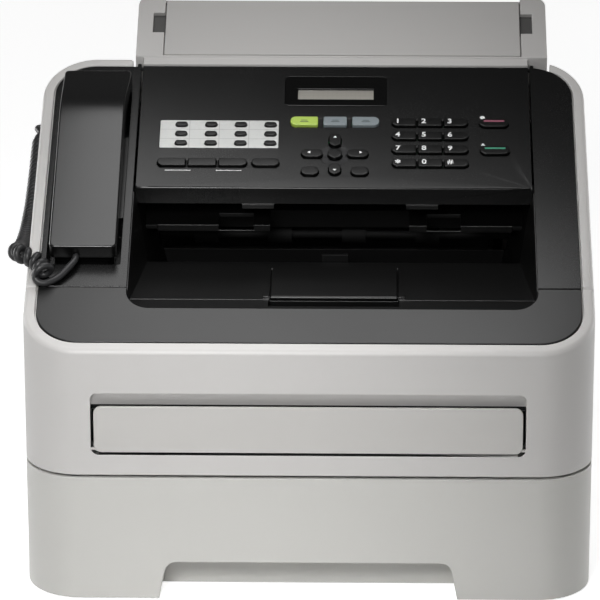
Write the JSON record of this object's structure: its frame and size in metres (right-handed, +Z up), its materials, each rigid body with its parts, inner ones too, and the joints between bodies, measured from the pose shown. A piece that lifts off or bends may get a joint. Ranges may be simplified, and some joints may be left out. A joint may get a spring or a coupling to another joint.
{
  "type": "fax machine",
  "caption": "Desktop laser fax machine with sloping control panel, corded handset in a side cradle, paper cassette, fold-out covers and document support.",
  "frame": {"origin": "middle of the footprint on the table, measured without the handset cord", "axes": "+X to the user's right, +Y from the user to the rear wall, +Z up; the front face looks along -Y"},
  "size_m": [0.3818, 0.36, 0.311],
  "materials": {
    "light_plastic": "fine moulded texture",
    "light_cassette": "fine moulded texture",
    "light_flap": "fine moulded texture",
    "light_unit": "fine moulded texture",
    "deck_grey": "fine moulded texture",
    "deck_dark": "fine moulded texture",
    "bay_black": "moulded",
    "panel_dark": "fine moulded texture",
    "display_black": "polished window with a grey display",
    "key_dark": "satin",
    "key_green": "satin",
    "key_pale": "satin",
    "handset_grey": "satin moulded",
    "cord_black": "extruded jacket",
    "plug_black": "moulded",
    "foot_rubber": "moulded",
    "roller_rubber": "ground rubber on a steel shaft",
    "frame_grey": "glass-filled moulding",
    "unit_dark": "moulded",
    "drum_teal": "coated drum in a dark frame",
    "board_green": "solder mask",
    "steel": "zinc plated"
  },
  "bodies": {
    "housing": {"base_frame": "frame_grey", "left_side_cover": "light_plastic", "right_side_cover": "light_plastic", "rear_housing": "light_plastic", "output_tray": "bay_black", "handset_cradle": "deck_dark", "right_top_panel": "deck_dark", "document_chute": "bay_black", "rear_top_cover": "light_unit", "rubber_feet": "foot_rubber", "laser_unit": "unit_dark", "fuser_unit": "unit_dark", "drum_unit": "drum_teal", "toner_cartridge": "unit_dark", "drive_unit": "steel", "main_board": "board_green", "connector_panel": "unit_dark", "screws": "steel", "cord_lead": "cord_black", "cord_coil": "cord_black", "cord_plug": "plug_black"},
    "front_cover": {"front_cover": "light_plastic", "front_deck": "deck_grey"},
    "manual_feed_cover": {"manual_feed_cover": "light_flap"},
    "paper_cassette": {"paper_cassette": "light_cassette"},
    "lift_plate": {"lift_plate": "steel"},
    "pickup_roller": {"pickup_roller": "roller_rubber"},
    "exit_roller": {"exit_roller": "roller_rubber"},
    "document_roller": {"document_roller": "roller_rubber"},
    "rear_cover": {"rear_cover": "light_plastic"},
    "output_flap": {"output_flap": "bay_black"},
    "control_panel": {"control_panel": "panel_dark", "display_bezel": "display_black", "panel_board": "board_green"},
    "document_support": {"document_support": "light_unit"},
    "handset": {"handset_back": "handset_grey", "handset_face": "handset_grey"},
    "dial_key_1": {"dial_key_1": "key_dark"},
    "dial_key_2": {"dial_key_2": "key_dark"},
    "dial_key_3": {"dial_key_3": "key_dark"},
    "dial_key_4": {"dial_key_4": "key_dark"},
    "dial_key_5": {"dial_key_5": "key_dark"},
    "dial_key_6": {"dial_key_6": "key_dark"},
    "dial_key_7": {"dial_key_7": "key_dark"},
    "dial_key_8": {"dial_key_8": "key_dark"},
    "dial_key_9": {"dial_key_9": "key_dark"},
    "dial_key_star": {"dial_key_star": "key_dark"},
    "dial_key_0": {"dial_key_0": "key_dark"},
    "dial_key_hash": {"dial_key_hash": "key_dark"},
    "fax_key": {"fax_key": "key_green"},
    "scan_key": {"scan_key": "key_pale"},
    "copy_key": {"copy_key": "key_pale"},
    "ok_key": {"ok_key": "key_dark"},
    "clear_key": {"clear_key": "key_dark"},
    "menu_key": {"menu_key": "key_dark"},
    "stop_key": {"stop_key": "key_dark"},
    "start_key": {"start_key": "key_dark"},
    "navigation_keys": {"navigation_keys": "key_dark"},
    "function_keys": {"function_keys": "key_dark"},
    "one_touch_keys": {"one_touch_keys": "key_dark"}
  },
  "joints": [
    {"name": "front_cover_hinge", "type": "hinge", "parent": "housing", "child": "front_cover", "pos_m": [0, -0.1765, 0.0911], "axis": [1, 0, 0], "range_deg": [0, 88]},
    {"name": "manual_feed_hinge", "type": "hinge", "parent": "front_cover", "child": "manual_feed_cover", "pos_m": [0, -0.1782, 0.105], "axis": [1, 0, 0], "range_deg": [0, 85]},
    {"name": "cassette_slide", "type": "slide", "parent": "housing", "child": "paper_cassette", "axis": [0, -1, 0], "range_m": [0, 0.28]},
    {"name": "lift_plate_hinge", "type": "hinge", "parent": "paper_cassette", "child": "lift_plate", "pos_m": [0, 0.138, 0.012], "axis": [-1, 0, 0], "range_deg": [0, 8]},
    {"name": "pickup_spin", "type": "hinge", "parent": "housing", "child": "pickup_roller", "pos_m": [0, -0.095, 0.064], "axis": [1, 0, 0], "continuous": true},
    {"name": "exit_spin", "type": "hinge", "parent": "housing", "child": "exit_roller", "pos_m": [0, 0.02, 0.182], "axis": [1, 0, 0], "continuous": true},
    {"name": "document_spin", "type": "hinge", "parent": "housing", "child": "document_roller", "pos_m": [0, 0.02, 0.219], "axis": [1, 0, 0], "continuous": true},
    {"name": "rear_cover_hinge", "type": "hinge", "parent": "housing", "child": "rear_cover", "pos_m": [0, 0.1782, 0.074], "axis": [-1, 0, 0], "range_deg": [0, 90]},
    {"name": "output_flap_hinge", "type": "hinge", "parent": "housing", "child": "output_flap", "pos_m": [0.0158, -0.1184, 0.1871], "axis": [1, 0, 0], "range_deg": [0, 150]},
    {"name": "control_panel_hinge", "type": "hinge", "parent": "housing", "child": "control_panel", "pos_m": [0, 0.08489, 0.27807], "axis": [-1, 0, 0], "range_deg": [0, 50]},
    {"name": "document_support_hinge", "type": "hinge", "parent": "housing", "child": "document_support", "pos_m": [0, 0.14609, 0.30754], "axis": [-1, 0, 0], "range_deg": [0, 130]},
    {"name": "handset_lift", "type": "slide", "parent": "housing", "child": "handset", "axis": [0, -0.3746, 0.9272], "range_m": [0, 0.1]},
    {"name": "dial_key_1_press", "type": "slide", "parent": "control_panel", "child": "dial_key_1", "axis": [0, 0.3746, -0.9272], "range_m": [0, 0.0008], "stiffness_N_per_m": 250, "springref_m": -0.0005},
    {"name": "dial_key_2_press", "type": "slide", "parent": "control_panel", "child": "dial_key_2", "axis": [0, 0.3746, -0.9272], "range_m": [0, 0.0008], "stiffness_N_per_m": 250, "springref_m": -0.0005},
    {"name": "dial_key_3_press", "type": "slide", "parent": "control_panel", "child": "dial_key_3", "axis": [0, 0.3746, -0.9272], "range_m": [0, 0.0008], "stiffness_N_per_m": 250, "springref_m": -0.0005},
    {"name": "dial_key_4_press", "type": "slide", "parent": "control_panel", "child": "dial_key_4", "axis": [0, 0.3746, -0.9272], "range_m": [0, 0.0008], "stiffness_N_per_m": 250, "springref_m": -0.0005},
    {"name": "dial_key_5_press", "type": "slide", "parent": "control_panel", "child": "dial_key_5", "axis": [0, 0.3746, -0.9272], "range_m": [0, 0.0008], "stiffness_N_per_m": 250, "springref_m": -0.0005},
    {"name": "dial_key_6_press", "type": "slide", "parent": "control_panel", "child": "dial_key_6", "axis": [0, 0.3746, -0.9272], "range_m": [0, 0.0008], "stiffness_N_per_m": 250, "springref_m": -0.0005},
    {"name": "dial_key_7_press", "type": "slide", "parent": "control_panel", "child": "dial_key_7", "axis": [0, 0.3746, -0.9272], "range_m": [0, 0.0008], "stiffness_N_per_m": 250, "springref_m": -0.0005},
    {"name": "dial_key_8_press", "type": "slide", "parent": "control_panel", "child": "dial_key_8", "axis": [0, 0.3746, -0.9272], "range_m": [0, 0.0008], "stiffness_N_per_m": 250, "springref_m": -0.0005},
    {"name": "dial_key_9_press", "type": "slide", "parent": "control_panel", "child": "dial_key_9", "axis": [0, 0.3746, -0.9272], "range_m": [0, 0.0008], "stiffness_N_per_m": 250, "springref_m": -0.0005},
    {"name": "dial_key_star_press", "type": "slide", "parent": "control_panel", "child": "dial_key_star", "axis": [0, 0.3746, -0.9272], "range_m": [0, 0.0008], "stiffness_N_per_m": 250, "springref_m": -0.0005},
    {"name": "dial_key_0_press", "type": "slide", "parent": "control_panel", "child": "dial_key_0", "axis": [0, 0.3746, -0.9272], "range_m": [0, 0.0008], "stiffness_N_per_m": 250, "springref_m": -0.0005},
    {"name": "dial_key_hash_press", "type": "slide", "parent": "control_panel", "child": "dial_key_hash", "axis": [0, 0.3746, -0.9272], "range_m": [0, 0.0008], "stiffness_N_per_m": 250, "springref_m": -0.0005},
    {"name": "fax_key_press", "type": "slide", "parent": "control_panel", "child": "fax_key", "axis": [0, 0.3746, -0.9272], "range_m": [0, 0.0008], "stiffness_N_per_m": 250, "springref_m": -0.0005},
    {"name": "scan_key_press", "type": "slide", "parent": "control_panel", "child": "scan_key", "axis": [0, 0.3746, -0.9272], "range_m": [0, 0.0008], "stiffness_N_per_m": 250, "springref_m": -0.0005},
    {"name": "copy_key_press", "type": "slide", "parent": "control_panel", "child": "copy_key", "axis": [0, 0.3746, -0.9272], "range_m": [0, 0.0008], "stiffness_N_per_m": 250, "springref_m": -0.0005},
    {"name": "ok_key_press", "type": "slide", "parent": "control_panel", "child": "ok_key", "axis": [0, 0.3746, -0.9272], "range_m": [0, 0.0008], "stiffness_N_per_m": 250, "springref_m": -0.0005},
    {"name": "clear_key_press", "type": "slide", "parent": "control_panel", "child": "clear_key", "axis": [0, 0.3746, -0.9272], "range_m": [0, 0.0008], "stiffness_N_per_m": 250, "springref_m": -0.0005},
    {"name": "menu_key_press", "type": "slide", "parent": "control_panel", "child": "menu_key", "axis": [0, 0.3746, -0.9272], "range_m": [0, 0.0008], "stiffness_N_per_m": 250, "springref_m": -0.0005},
    {"name": "stop_key_press", "type": "slide", "parent": "control_panel", "child": "stop_key", "axis": [0, 0.3746, -0.9272], "range_m": [0, 0.0008], "stiffness_N_per_m": 250, "springref_m": -0.0005},
    {"name": "start_key_press", "type": "slide", "parent": "control_panel", "child": "start_key", "axis": [0, 0.3746, -0.9272], "range_m": [0, 0.0008], "stiffness_N_per_m": 250, "springref_m": -0.0005},
    {"name": "navigation_keys_press", "type": "slide", "parent": "control_panel", "child": "navigation_keys", "axis": [0, 0.3746, -0.9272], "range_m": [0, 0.0008], "stiffness_N_per_m": 350, "springref_m": -0.0005},
    {"name": "function_keys_press", "type": "slide", "parent": "control_panel", "child": "function_keys", "axis": [0, 0.3746, -0.9272], "range_m": [0, 0.0008], "stiffness_N_per_m": 350, "springref_m": -0.0005},
    {"name": "one_touch_keys_press", "type": "slide", "parent": "control_panel", "child": "one_touch_keys", "axis": [0, 0.3746, -0.9272], "range_m": [0, 0.0008], "stiffness_N_per_m": 350, "springref_m": -0.0005}
  ]
}
